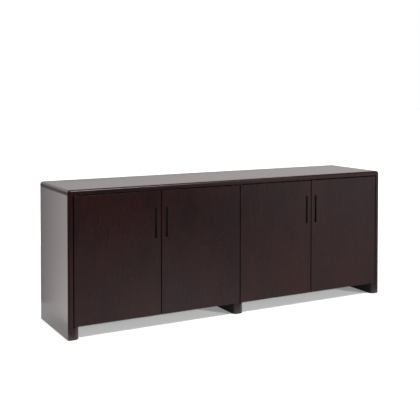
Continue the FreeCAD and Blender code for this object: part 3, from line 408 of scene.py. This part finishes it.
class Workpiece:
    """One mesh on the bench, shaped with the modelling tools."""

    def __init__(self, name: str) -> None:
        """Take the primitive that was added last.

        Args:
            name: The piece's name.
        """
        self.piece = bpy.context.active_object
        self.piece.name = name
        self.piece.data.name = name
        bpy.ops.object.transform_apply(location=True, rotation=True, scale=True)

    @classmethod
    def block(cls, name: str, low: Sequence[float], high: Sequence[float]) -> "Workpiece":
        """Start from a block.

        Args:
            name: The piece's name.
            low: Its lowest corner.
            high: Its highest corner.

        Returns:
            The new workpiece.
        """
        low, high = Vector(low), Vector(high)
        bpy.ops.object.select_all(action="DESELECT")
        bpy.ops.mesh.primitive_cube_add(size=1, location=(low + high) / 2, scale=high - low)
        return cls(name)

    @classmethod
    def disc(cls, name: str, radius: float, depth: float, sides: int,
             top: Sequence[float]) -> "Workpiece":
        """Start from a disc.

        Args:
            name: The piece's name.
            radius: Its radius.
            depth: Its thickness.
            sides: The flats round its rim.
            top: The middle of its upper face.

        Returns:
            The new workpiece.
        """
        centre = Vector(top) - Vector((0, 0, depth / 2))
        bpy.ops.object.select_all(action="DESELECT")
        bpy.ops.mesh.primitive_cylinder_add(
            vertices=sides, radius=radius, depth=depth, location=centre)
        return cls(name)

    @contextmanager
    def editing(self) -> Iterator[None]:
        """Hold the piece in edit mode."""
        bpy.ops.object.select_all(action="DESELECT")
        bpy.context.view_layer.objects.active = self.piece
        self.piece.select_set(True)
        bpy.ops.object.mode_set(mode="EDIT")
        bpy.ops.mesh.select_all(action="DESELECT")
        yield
        bpy.ops.object.mode_set(mode="OBJECT")

    def faces(self, test: Test) -> None:
        """Select the faces whose middle and normal pass a test, and nothing else."""
        bpy.ops.mesh.select_mode(type="FACE")
        bpy.ops.mesh.select_all(action="DESELECT")
        mesh = bmesh.from_edit_mesh(self.piece.data)
        for face in mesh.faces:
            face.select_set(test(face.calc_center_median(), face.normal))
        bmesh.update_edit_mesh(self.piece.data)

    def edges(self, test: Test) -> None:
        """Select the edges whose middle and direction pass a test, and nothing else."""
        bpy.ops.mesh.select_mode(type="EDGE")
        bpy.ops.mesh.select_all(action="DESELECT")
        mesh = bmesh.from_edit_mesh(self.piece.data)
        for edge in mesh.edges:
            first, second = (corner.co for corner in edge.verts)
            edge.select_set(test((first + second) / 2, (second - first).normalized()))
        bmesh.update_edit_mesh(self.piece.data)

    def extrude(self, by: Sequence[float]) -> None:
        """Draw the selected faces out by a vector."""
        bpy.ops.mesh.extrude_region_move(TRANSFORM_OT_translate={"value": tuple(by)})

    def inset(self, width: float) -> None:
        """Inset the selected faces by a width."""
        bpy.ops.mesh.inset(thickness=width, use_even_offset=True)

    def stretch(self, factors: Sequence[float], centre: Sequence[float]) -> None:
        """Scale what is selected about a point."""
        bpy.ops.transform.resize(value=tuple(factors), center_override=tuple(centre))

    def round_off(self, radius: float, segments: int) -> None:
        """Round the selected edges."""
        bpy.ops.mesh.bevel(offset=radius, segments=segments, affect="EDGES")

    def slice_at(self, point: Sequence[float], normal: Sequence[float]) -> None:
        """Cut every face along a plane."""
        bpy.ops.mesh.select_all(action="SELECT")
        bpy.ops.mesh.bisect(plane_co=tuple(point), plane_no=tuple(normal))

    def modify(self, kind: str, **settings: object) -> None:
        """Add a modifier and apply it.

        Args:
            kind: The modifier's type.
            settings: Its properties.
        """
        bpy.ops.object.select_all(action="DESELECT")
        bpy.context.view_layer.objects.active = self.piece
        self.piece.select_set(True)
        modifier = self.piece.modifiers.new(kind.lower(), kind)
        for name, setting in settings.items():
            setattr(modifier, name, setting)
        bpy.ops.object.modifier_apply(modifier=modifier.name)

    def carve(self, tool: "Workpiece") -> None:
        """Cut a tool's shape out of the piece and throw the tool away."""
        self.modify("BOOLEAN", operation="DIFFERENCE", solver="EXACT", object=tool.piece)
        bpy.data.objects.remove(tool.piece)

    def soften(self, radius: float, segments: int = 2, over_deg: float = 35.0) -> None:
        """Round every edge that is sharper than an angle."""
        self.modify(
            "BEVEL", width=radius, segments=segments, limit_method="ANGLE",
            angle_limit=math.radians(over_deg), use_clamp_overlap=True)

    def smooth(self, under_deg: float = 40.0) -> None:
        """Shade the faces smooth where they meet at less than an angle."""
        bpy.ops.object.select_all(action="DESELECT")
        bpy.context.view_layer.objects.active = self.piece
        self.piece.select_set(True)
        bpy.ops.object.shade_smooth_by_angle(angle=math.radians(under_deg))

    def copy_to(self, turn: Matrix, place: Vector) -> bpy.types.Object:
        """Make a copy with its own mesh.

        Args:
            turn: The copy's rotation.
            place: Where the piece's origin goes.

        Returns:
            The copy, with its place in its mesh.
        """
        bpy.ops.object.select_all(action="DESELECT")
        self.piece.select_set(True)
        bpy.context.view_layer.objects.active = self.piece
        bpy.ops.object.duplicate(linked=False)
        copy = bpy.context.active_object
        copy.matrix_world = Matrix.Translation(place) @ turn.to_4x4()
        bpy.ops.object.transform_apply(location=True, rotation=True, scale=True)
        return copy


def join(name: str, pieces: Sequence[bpy.types.Object]) -> bpy.types.Object:
    """Join pieces into one object.

    Args:
        name: The name of the whole.
        pieces: What is joined.

    Returns:
        The joined object.
    """
    bpy.ops.object.select_all(action="DESELECT")
    for piece in pieces:
        piece.select_set(True)
    bpy.context.view_layer.objects.active = pieces[0]
    bpy.ops.object.join()
    whole = bpy.context.active_object
    whole.name = name
    whole.data.name = name
    return whole


def fit(piece: bpy.types.Object, finish: Finish, body: str, slot: str, *stands_for: str) -> None:
    """Finish a new piece and fix it to the body that carries it.

    Args:
        piece: The new piece.
        finish: Its finish.
        body: The body that it rides on.
        slot: A material slot's name; not used.
        stands_for: The plain nodes that it replaces.
    """
    finish.dress(piece)
    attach(piece, body)
    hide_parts(*stands_for)
    LOG.info("%s: %d faces, on %s", piece.name, len(piece.data.polygons), body)


@dataclass(frozen=True)
class Solid:
    """One separate solid of a node, known by its corners."""

    points: tuple[Vector, ...]

    @property
    def low(self) -> Vector:
        """The lowest corner."""
        return Vector(tuple(min(point[axis] for point in self.points) for axis in range(3)))

    @property
    def high(self) -> Vector:
        """The highest corner."""
        return Vector(tuple(max(point[axis] for point in self.points) for axis in range(3)))


def solids_of(node: str) -> list[Solid]:
    """Split a node of the frame into its separate solids.

    Args:
        node: The node's name.

    Returns:
        The solids, in the order of their places.
    """
    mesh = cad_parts[node].data
    places = [vertex.co.to_tuple(6) for vertex in mesh.vertices]
    leader = {place: place for place in places}

    def lead(place: tuple) -> tuple:
        """Follow a point to the one that leads its solid."""
        while leader[place] != place:
            leader[place] = leader[leader[place]]
            place = leader[place]
        return place

    for polygon in mesh.polygons:
        first, *others = (lead(places[corner]) for corner in polygon.vertices)
        for other in others:
            leader[lead(other)] = lead(first)
    groups: dict[tuple, list[Vector]] = {}
    for place in leader:
        groups.setdefault(lead(place), []).append(Vector(place))
    found = [Solid(tuple(points)) for points in groups.values()]
    return sorted(found, key=lambda solid: tuple(solid.low))


# ---------------------------------------------------------------------------------------
# Screws
# ---------------------------------------------------------------------------------------
@dataclass(frozen=True)
class ScrewPlace:
    """Where one screw sits: its head's middle, the way it points and its sizes."""

    head: Vector
    into: Vector
    head_radius: float
    shank_radius: float
    length: float

    @classmethod
    def of(cls, solid: Solid) -> "ScrewPlace":
        """Read a screw's place from its plain solid.

        Args:
            solid: The plain screw.

        Returns:
            Its place; the head is at the wider end.
        """
        low, high = solid.low, solid.high
        axis = max(range(3), key=lambda number: high[number] - low[number])
        middle = (low + high) / 2

        def radius_at(level: float) -> float:
            """Return how far the solid's corners at a level stand off its axis."""
            reach = 0.0
            for point in solid.points:
                if abs(point[axis] - level) < 0.1 * MM:
                    offset = point - middle
                    offset[axis] = 0.0
                    reach = max(reach, offset.length)
            return reach

        ends = sorted((low[axis], high[axis]), key=radius_at)
        head = middle.copy()
        head[axis] = ends[1]
        into = Vector((0, 0, 0))
        into[axis] = math.copysign(1.0, ends[0] - ends[1])
        return cls(head, into, radius_at(ends[1]), radius_at(ends[0]), high[axis] - low[axis])


@dataclass
class CrossheadScrews:
    """A set of countersunk crosshead screws that stands for one node of plain ones."""

    node: str
    body: str
    finish: Finish = ZINC
    slot: str = "bright_steel"
    sides: int = 20
    slot_length_share: float = 1.15
    slot_width_share: float = 0.30
    slot_depth_share: float = 0.42
    point_share: float = 0.35
    roll_step_deg: float = 37.0

    def pattern(self, place: ScrewPlace) -> Workpiece:
        """Model one screw, head up, its head's middle at the origin.

        Args:
            place: A place whose sizes the screw takes.

        Returns:
            The screw, pointing down.
        """
        head, shank = place.head_radius, place.shank_radius
        cone_height = (head - shank) * 1.3
        screw = Workpiece.disc("screw_pattern", head, cone_height, self.sides, (0, 0, 0))
        tip = place.length - cone_height
        with screw.editing():
            screw.faces(lambda middle, normal: normal.z < -0.9)
            screw.stretch((shank / head, shank / head, 1), (0, 0, -cone_height))
            screw.extrude((0, 0, -tip * (1 - self.point_share / 3)))
            screw.extrude((0, 0, -tip * self.point_share / 3))
            screw.stretch((0.25, 0.25, 1), (0, 0, -place.length))
            screw.faces(lambda middle, normal: normal.z > 0.9)
            screw.inset(head * 0.06)
        self.cut_cross(screw, head)
        screw.smooth()
        return screw

    def cut_cross(self, screw: Workpiece, head: float) -> None:
        """Cut the tapered cross recess into the head."""
        half_length = head * self.slot_length_share / 2
        half_width = head * self.slot_width_share / 2
        depth = head * self.slot_depth_share
        for across, along in ((half_length, half_width), (half_width, half_length)):
            wing = Workpiece.block("cross_wing", (-across, -along, -depth), (across, along, depth))
            with wing.editing():
                wing.faces(lambda middle, normal: normal.z < -0.9)
                wing.stretch((0.55, 0.55, 1), (0, 0, -depth))
            screw.carve(wing)

    def build(self) -> bpy.types.Object:
        """Model the set, one screw at each place of the node."""
        places = [ScrewPlace.of(solid) for solid in solids_of(self.node)]
        patterns: dict[tuple[int, int], Workpiece] = {}
        copies = []
        for number, place in enumerate(places):
            size = (round(place.length / MM), round(place.head_radius / MM * 10))
            if size not in patterns:
                patterns[size] = self.pattern(place)
            roll = Matrix.Rotation(math.radians(self.roll_step_deg * number), 3, "Z")
            turn = (-place.into).to_track_quat("Z", "Y").to_matrix() @ roll
            copies.append(patterns[size].copy_to(turn, place.head))
        for pattern in patterns.values():
            bpy.data.objects.remove(pattern.piece)
        whole = join(f"{self.node}_crosshead", copies)
        fit(whole, self.finish, self.body, self.slot, self.node)
        return whole


# ---------------------------------------------------------------------------------------
# Doors
# ---------------------------------------------------------------------------------------
@dataclass
class RecessedPull:
    """A moulded finger pull: a narrow mouth in front of a wider hollow."""

    door: str
    lip: float = 4 * MM
    margin: float = 6 * MM
    mouth_wall: float = 1.1 * MM
    box_wall: float = 1.8 * MM
    back_wall: float = 2 * MM
    mouth_radius: float = 2 * MM
    soft_edge: float = 0.3 * MM

    def build(self) -> bpy.types.Object:
        """Model the pull from a block: draw out the neck, then sink the mouth and the hollow."""
        low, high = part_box(f"{self.door}_pull")
        middle = (low + high) / 2
        pull = Workpiece.block(f"{self.door}_pull_cup", (low.x, low.y + self.lip, low.z), high)
        mouth = Vector((high.x - low.x, 0, high.z - low.z)) - Vector((1, 0, 1)) * 2 * self.margin
        opening = mouth - Vector((1, 0, 1)) * 2 * self.mouth_wall
        hollow = Vector((high.x - low.x, 0, high.z - low.z)) - Vector((1, 0, 1)) * 2 * self.box_wall
        hollow_front = low.y + self.lip + self.box_wall
        with pull.editing():
            pull.faces(lambda centre, normal: normal.y < -0.9)
            pull.inset(self.margin)
            pull.extrude((0, -self.lip, 0))
            pull.edges(lambda centre, line: abs(line.y) > 0.9 and centre.y < low.y + self.lip)
            pull.round_off(self.mouth_radius, 4)
            pull.faces(lambda centre, normal: normal.y < -0.9 and centre.y < low.y + 0.1 * MM)
            pull.inset(self.mouth_wall)
            pull.extrude((0, self.lip + self.box_wall, 0))
            pull.extrude((0, 0, 0))
            pull.stretch(
                (hollow.x / opening.x, 1, hollow.z / opening.z), (middle.x, hollow_front, middle.z))
            pull.extrude((0, high.y - self.back_wall - hollow_front, 0))
        pull.soften(self.soft_edge)
        pull.smooth()
        fit(pull.piece, PULL_BLACK_AND_SHADE, self.door, "pull_black", f"{self.door}_pull")
        return pull.piece


@dataclass
class Door:
    """One hinged door: its board, pull, hinge leaves, strike plate and screws."""

    name: str
    leaves: tuple[str, ...] = ("leaf_top", "leaf_bottom")

    def build(self) -> None:
        """Dress the door's board and plates, and model its pull and screws."""
        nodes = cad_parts
        DOOR_VENEER.dress(nodes[self.name])
        BRONZE.dress(*(nodes[f"{self.name}_{leaf}"] for leaf in self.leaves))
        ZINC.dress(nodes[f"{self.name}_strike"])
        RecessedPull(self.name).build()
        CrossheadScrews(f"{self.name}_screws", self.name).build()


# ---------------------------------------------------------------------------------------
# Case
# ---------------------------------------------------------------------------------------
@dataclass
class MagneticCatch:
    """A double catch: a moulded bar with two magnet seats and a countersunk middle boss."""

    side: str
    edge_radius: float = 1.5 * MM
    boss_half: float = 8 * MM
    rim: float = 2 * MM
    relief: float = 1.6 * MM
    sink_radius: float = 3.4 * MM
    sink_depth: float = 2.2 * MM

    def build(self) -> bpy.types.Object:
        """Model the bar, its two sunk panels underneath, the magnet seats and the screw's seat."""
        node = f"catch_{self.side}"
        low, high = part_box(node)
        middle = (low + high) / 2
        bar = Workpiece.block(f"{node}_bar", low, high)
        with bar.editing():
            bar.edges(lambda centre, line: centre.z < high.z - MM and centre.y > low.y + MM)
            bar.round_off(self.edge_radius, 3)
            for step in (-self.boss_half, self.boss_half):
                bar.slice_at((middle.x + step, 0, 0), (1, 0, 0))
            for sign in (-1, 1):
                bar.faces(lambda centre, normal: (
                    normal.z < -0.9 and sign * (centre.x - middle.x) > self.boss_half))
                bar.inset(self.rim)
                bar.extrude((0, 0, self.relief))
        for magnet in solids_of("catch_magnets"):
            if low.x < magnet.low.x < high.x:
                seat = Workpiece.block("magnet_seat", magnet.low - Vector((0, MM, 0)), magnet.high)
                bar.carve(seat)
        sink = Workpiece.disc(
            "screw_seat", self.sink_radius, self.sink_depth * 2, 24,
            (middle.x, self.screw_y(low, high), low.z + self.sink_depth))
        bar.carve(sink)
        bar.smooth()
        fit(bar.piece, CATCH_BROWN, "case", "catch_plastic", node)
        return bar.piece

    def screw_y(self, low: Vector, high: Vector) -> float:
        """Return the depth at which the catch's own screw goes through the bar."""
        for solid in solids_of("hardware_screws"):
            centre = (solid.low + solid.high) / 2
            if low.x < centre.x < high.x and low.y < centre.y < high.y:
                return centre.y
        raise ValueError(f"no screw goes through catch_{self.side}")


@dataclass
class Case:
    """Everything that stands still: boards, feet, shelves, catches and their fixings."""

    plates: tuple[str, ...] = ("left", "centre", "right")
    screw_nodes: tuple[tuple[str, Metal], ...] = (
        ("top_screws", ZINC), ("foot_screws", BLACK_OXIDE), ("back_screws", ZINC),
        ("hardware_screws", ZINC))

    def dress_boards(self) -> None:
        """Give every board of the case its veneer."""
        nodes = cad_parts
        TOP_VENEER.dress(nodes["top_panel"])
        PANEL_VENEER.dress(nodes["partition"])
        FOOT_WOOD.dress(nodes["centre_foot"])
        for side in SIDES:
            PANEL_VENEER.dress(nodes[f"end_panel_{side}"])
            FOOT_WOOD.dress(nodes[f"end_foot_{side}"])
            BACK_VENEER.dress(nodes[f"back_panel_{side}"])
            for board in ("bottom_panel", "front_rail", "rear_rail", "shelf"):
                BOARD_VENEER.dress(nodes[f"{board}_{side}"])

    def dress_fittings(self) -> None:
        """Give the plain fittings of the case their metal, plastic or bare wood."""
        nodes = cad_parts
        BEECH.dress(nodes["dowels"])
        NYLON.dress(nodes["glides"], nodes["pivot_washers"])
        ZINC.dress(nodes["shelf_pins"], nodes["pivot_pins"])
        NICKEL.dress(nodes["catch_magnets"])
        for end in ("top", "bottom"):
            BRONZE.dress(*(nodes[f"pivot_plate_{end}_{place}"] for place in self.plates))

    def build(self) -> None:
        """Dress the boards and fittings, and model the catches and screws."""
        self.dress_boards()
        self.dress_fittings()
        for side in SIDES:
            MagneticCatch(side).build()
        for node, finish in self.screw_nodes:
            CrossheadScrews(node, "case", finish).build()


# ---------------------------------------------------------------------------------------
# Studio
# ---------------------------------------------------------------------------------------
def shown(wiring: Wiring) -> bpy.types.NodeSocket:
    """Return 1 for rays that show the background: straight, mirrored or through glass."""
    rays = wiring.add("LightPath").outputs
    seen = wiring.math("MAXIMUM", rays["Is Camera Ray"], rays["Is Glossy Ray"])
    return wiring.math("MAXIMUM", seen, rays["Is Transmission Ray"])


@dataclass(frozen=True)
class Lamp:
    """A sun that shines on the floor alone, or on everything but the floor."""

    name: str
    strength: float
    height_deg: float
    left_deg: float
    width_deg: float
    on_floor: bool

    def hang(self, floor: bpy.types.Object) -> None:
        """Hang the sun.

        Args:
            floor: The floor, which is lit alone or left out.
        """
        lamp = bpy.data.lights.new(self.name, "SUN")
        lamp.energy = self.strength
        lamp.angle = math.radians(self.width_deg)
        sun = bpy.data.objects.new(self.name, lamp)
        bpy.context.scene.collection.objects.link(sun)
        sun.rotation_euler = (math.radians(90 - self.height_deg), 0, -math.radians(self.left_deg))
        light_only(sun, floor, self.on_floor)


def light_only(lamp: bpy.types.Object, floor: bpy.types.Object, on_floor: bool) -> None:
    """Link a lamp to the floor alone, or to everything but the floor."""
    reach = bpy.data.collections.new(f"{lamp.name}_reach")
    reach.objects.link(floor)
    lamp.light_linking.receiver_collection = reach
    reach.collection_objects[0].light_linking.link_state = "INCLUDE" if on_floor else "EXCLUDE"


@dataclass(frozen=True)
class MirrorCard:
    """A card beside the case that only mirrored rays meet.

    It starts on the floor and rises away from the case. Its tone has one profile along its foot
    and another along its head, and a third one says how far each height is from foot to head.
    """

    name: str
    foot: float
    head: float
    height: float
    span: tuple[float, float]
    faces_front: bool
    foot_tones: tuple[tuple[float, float], ...]
    head_tones: tuple[tuple[float, float], ...]
    levels: tuple[tuple[float, float], ...]
    tint: Colour = (1.0, 0.94, 0.95)

    def stand(self) -> None:
        """Stand the card beside the case."""
        out, rise = self.head - self.foot, self.height
        middle = ((self.span[0] + self.span[1]) / 2, (self.foot + self.head) / 2, rise / 2)
        size = (self.span[1] - self.span[0], math.hypot(out, rise), 1)
        turn = (math.atan2(rise, out), 0, 0)
        if not self.faces_front:
            middle, size = (middle[1], middle[0], middle[2]), (size[1], size[0], 1)
            turn = (0, -math.atan2(rise, out), 0)
        bpy.ops.object.select_all(action="DESELECT")
        bpy.ops.mesh.primitive_plane_add(size=1, location=middle, rotation=turn)
        card = bpy.context.active_object
        card.name = self.name
        card.scale = size
        bpy.ops.object.transform_apply(location=True, rotation=True, scale=True)
        card.data.materials.append(self.material())
        for kind in ("camera", "diffuse", "transmission", "volume_scatter", "shadow"):
            setattr(card, f"visible_{kind}", False)

    def material(self) -> bpy.types.Material:
        """Make the card's glow."""
        material = bpy.data.materials.new(self.name)
        material.use_nodes = True
        wiring = Wiring(material.node_tree)
        place = wiring.add("SeparateXYZ", {0: wiring.add("TexCoord").outputs["Object"]}).outputs
        along = place[0 if self.faces_front else 1]
        tone = wiring.mix(
            wiring.profile(place[2], self.levels), wiring.profile(along, self.foot_tones),
            wiring.profile(along, self.head_tones))
        glow = wiring.add("Emission", {"Color": rgba(self.tint), "Strength": tone}).outputs[0]
        wiring.add("OutputMaterial", {"Surface": glow})
        return material


DOOR_CARD = MirrorCard(
    "door_card", foot=-0.30, head=-2.25, height=1.30, span=(-4.0, 4.0), faces_front=True,
    foot_tones=((-1.0, 0.40), (-0.3, 0.58), (0.4, 0.42), (1.0, 0.40)),
    head_tones=((-0.3, 0.0), (0.1, 0.08), (0.83, 0.42), (1.5, 0.54)),
    levels=((0.05, 0.0), (0.50, 1.0)))
PANEL_CARD = MirrorCard(
    "panel_card", foot=-1.11, head=-1.112, height=1.1, span=(-2.5, 3.0), faces_front=False,
    foot_tones=((-0.20, 0.05), (-0.13, 1.9), (0.16, 1.9), (0.40, 1.2), (0.65, 0.78)),
    head_tones=((-0.20, 0.05), (-0.13, 0.57), (0.14, 0.57), (0.60, 0.47)),
    levels=((0.0, 0.0), (0.35, 0.24), (0.75, 0.30), (1.1, 0.60)))
TOP_CARD = MirrorCard(
    "top_card", foot=0.55, head=0.552, height=1.1, span=(-1.2, 2.2), faces_front=True,
    foot_tones=((-1.0, 0.62), (1.0, 0.80)),
    head_tones=((-1.0, 1.0), (1.0, 1.0)),
    levels=((0.78, 0.0), (0.90, 1.0)))
FLOOR_SUN = Lamp("floor_sun", 3.8, height_deg=58.0, left_deg=27.0, width_deg=2.0, on_floor=True)
FLOOR_FILL = Lamp("floor_fill", 3.8, height_deg=15.0, left_deg=-35.0, width_deg=4.0, on_floor=True)
KEY_SUN = Lamp("key_sun", 1.2, height_deg=49.0, left_deg=-29.0, width_deg=14.0, on_floor=False)


@dataclass
class Studio:
    """A white floor and sky, lamps for the floor and for the case, cards, and the camera."""

    floor_reach: float = 60.0
    floor_tone: float = 0.60
    floor_glow: float = 0.24
    sky: float = 0.75
    sky_shade: tuple[tuple[float, float], ...] = ((-0.2, 1.15), (0.5, 0.20))
    shade_towards: tuple[float, float, float] = (-0.87, -0.50, 0.0)
    mirrored_sky: tuple[tuple[float, float], ...] = ((0.18, 1.0), (0.26, 1.15), (0.40, 0.06))
    mirrored_tint: Colour = (1.0, 0.94, 0.95)
    lens_mm: float = 68.86
    camera_place: tuple[float, float, float] = (-2.2775, -4.0225, 1.2454)
    camera_left_deg: float = 28.841
    camera_down_deg: float = 1.68
    camera_shift: float = -0.2300

    def build_floor(self) -> bpy.types.Object:
        """Lay a wide floor that shows white where it is lit."""
        bpy.ops.object.select_all(action="DESELECT")
        bpy.ops.mesh.primitive_plane_add(size=self.floor_reach)
        floor = bpy.context.active_object
        floor.name = "studio_floor"
        material = bpy.data.materials.new("studio_floor")
        material.use_nodes = True
        wiring = Wiring(material.node_tree)
        place = wiring.add("TexCoord").outputs["Object"]
        mottle = wiring.spread(wiring.noise(place, (2.0, 2.0, 2.0)), 0.2, 0.8, 0.99, 1.0)
        tone = wiring.mix(mottle, rgba((0, 0, 0)), rgba((self.floor_tone,) * 3))
        matte = wiring.add("BsdfDiffuse", {"Color": tone}).outputs[0]
        strength = wiring.math("MULTIPLY", shown(wiring), self.floor_glow)
        glow = wiring.add("Emission", {"Strength": strength}).outputs[0]
        both = wiring.add("AddShader", {0: matte, 1: glow}).outputs[0]
        wiring.add("OutputMaterial", {"Surface": both})
        floor.data.materials.append(material)
        return floor

    def build_sky(self) -> None:
        """Surround the scene with a light that shows white, and mirrors white low down.

        It sheds less light from the front left, so that edges that face there stay dark.
        """
        world = bpy.data.worlds.new("studio_sky")
        bpy.context.scene.world = world
        world.use_nodes = True
        wiring = Wiring(world.node_tree)
        about = wiring.add("TexCoord").outputs["Generated"]
        upward = wiring.add("SeparateXYZ", {0: about}).outputs[2]
        leftward = wiring.add("VectorMath", {0: about, 1: self.shade_towards}, operation="DOT_PRODUCT")
        shade = wiring.profile(leftward.outputs["Value"], self.sky_shade)
        overhead = wiring.profile(upward, self.mirrored_sky)
        tinted = wiring.mix(overhead, rgba((0, 0, 0)), rgba(self.mirrored_tint))
        mirrored = wiring.add("LightPath").outputs["Is Glossy Ray"]
        colour = wiring.mix(mirrored, rgba((1, 1, 1)), tinted)
        lit = wiring.math("MULTIPLY", shade, self.sky)
        strength = wiring.add("Mix", {0: shown(wiring), 2: lit, 3: 1.0})
        sky = wiring.add("Background", {"Color": colour, "Strength": strength.outputs[0]})
        wiring.add("OutputWorld", {"Surface": sky.outputs[0]})

    def build_camera(self) -> None:
        """Set up the camera: front left, with upright lines kept nearly upright by its shift."""
        lens = bpy.data.cameras.new("camera")
        lens.lens = self.lens_mm
        lens.shift_y = self.camera_shift
        camera = bpy.data.objects.new("camera", lens)
        bpy.context.scene.collection.objects.link(camera)
        camera.location = self.camera_place
        camera.rotation_euler = (
            math.radians(90 - self.camera_down_deg), 0, -math.radians(self.camera_left_deg))
        bpy.context.scene.camera = camera

    def build(self) -> None:
        """Build the studio."""
        floor = self.build_floor()
        for card in (DOOR_CARD, PANEL_CARD, TOP_CARD):
            card.stand()
        self.build_sky()
        for lamp in (FLOOR_SUN, FLOOR_FILL, KEY_SUN):
            lamp.hang(floor)
        self.build_camera()
        bpy.context.scene.view_settings.view_transform = "Standard"


def main() -> None:
    """Build the studio, the case and the doors."""
    logging.basicConfig(level=logging.INFO, format="%(message)s")
    Studio().build()
    Case().build()
    for door in DOORS:
        Door(door).build()


if __name__ == "__main__":
    main()
